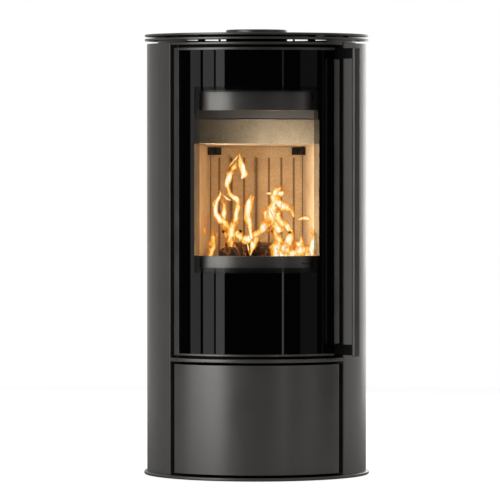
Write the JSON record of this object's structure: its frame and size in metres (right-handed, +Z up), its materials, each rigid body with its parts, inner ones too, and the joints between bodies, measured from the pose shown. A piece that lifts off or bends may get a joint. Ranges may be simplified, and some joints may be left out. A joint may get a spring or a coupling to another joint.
{
  "type": "wood burning stove",
  "caption": "Tall round steel wood burning stove with a curved glass door, full height bar handle, lower drawer, top plates on spacers and a lidded top outlet.",
  "frame": {"origin": "the stove's axis at floor level, at the underside of the round base plate", "axes": "+Z up, the door and drawer face -Y, +X to the right seen from the front; the flue and air spigots leave towards +Y"},
  "size_m": [0.5, 0.5, 0.986],
  "materials": {
    "casing_paint": "dark grey heat resistant stove paint, satin",
    "black_steel": "matt black heat resistant paint",
    "door_steel": "dark satin steel frame strips",
    "zinc_steel": "zinc plated sheet",
    "grate_iron": "as cast",
    "vermiculite": "pressed vermiculite board, matt",
    "door_glass": "black printed ceramic glass with a clear window",
    "seal_rope": "knitted glass fibre rope"
  },
  "bodies": {
    "stove": {"base_plate": "casing_paint", "side_panel_left": "casing_paint", "side_panel_right": "casing_paint", "back_panel": "casing_paint", "casing_top_plate": "black_steel", "middle_plate": "casing_paint", "top_plate": "casing_paint", "spacer_1": "black_steel", "spacer_2": "black_steel", "spacer_3": "black_steel", "spacer_4": "black_steel", "spacer_5": "black_steel", "spacer_6": "black_steel", "flue_collar": "black_steel", "rear_flue_spigot": "black_steel", "shelf_plate": "casing_paint", "jamb_left": "black_steel", "jamb_right": "black_steel", "compartment_wall_left": "zinc_steel", "compartment_wall_right": "zinc_steel", "drawer_rail_left": "zinc_steel", "drawer_rail_right": "zinc_steel", "firebox_support_left": "black_steel", "firebox_support_right": "black_steel", "firebox_floor": "black_steel", "firebox_shell": "black_steel", "firebox_top": "black_steel", "front_frame": "black_steel", "lining_back": "vermiculite", "lining_left": "vermiculite", "lining_right": "vermiculite", "lining_floor": "vermiculite", "grate": "grate_iron", "baffle_plate": "vermiculite", "baffle_bracket_left": "black_steel", "baffle_bracket_right": "black_steel", "smoke_shelf": "black_steel", "baffle_lip": "black_steel", "log_guard": "casing_paint", "air_wash_deflector": "casing_paint", "ash_housing": "black_steel", "ash_pan": "zinc_steel", "air_box": "black_steel", "hinge_pin_top": "zinc_steel", "hinge_pin_bottom": "zinc_steel", "latch_keeper_top": "zinc_steel", "latch_keeper_bottom": "zinc_steel"},
    "door": {"door_frame": "door_steel", "door_glass": "door_glass", "door_seal": "seal_rope", "glass_retainer_left": "black_steel", "glass_retainer_right": "black_steel"},
    "handle": {"handle_bar": "casing_paint", "handle_arm_top": "black_steel", "handle_arm_bottom": "black_steel", "latch_rod": "zinc_steel"},
    "air_control": {"air_slide": "zinc_steel"},
    "drawer": {"drawer_front": "casing_paint", "drawer_box": "zinc_steel"},
    "flue_lid": {"flue_lid": "casing_paint"}
  },
  "joints": [
    {"name": "door_hinge", "type": "hinge", "parent": "stove", "child": "door", "pos_m": [-0.17091, -0.16275, 0.6069], "axis": [0, 0, -1], "range_deg": [0, 110]},
    {"name": "handle_pivot", "type": "hinge", "parent": "door", "child": "handle", "pos_m": [0.17091, -0.16275, 0.6069], "axis": [0, 0, -1], "range_deg": [0, 20]},
    {"name": "drawer_slide", "type": "slide", "parent": "stove", "child": "drawer", "axis": [0, -1, 0], "range_m": [0, 0.24]},
    {"name": "air_slide_guide", "type": "slide", "parent": "stove", "child": "air_control", "axis": [-1, 0, 0], "range_m": [0, 0.05]},
    {"name": "flue_lid_lift", "type": "slide", "parent": "stove", "child": "flue_lid", "axis": [0, 0, 1], "range_m": [0, 0.12]}
  ]
}
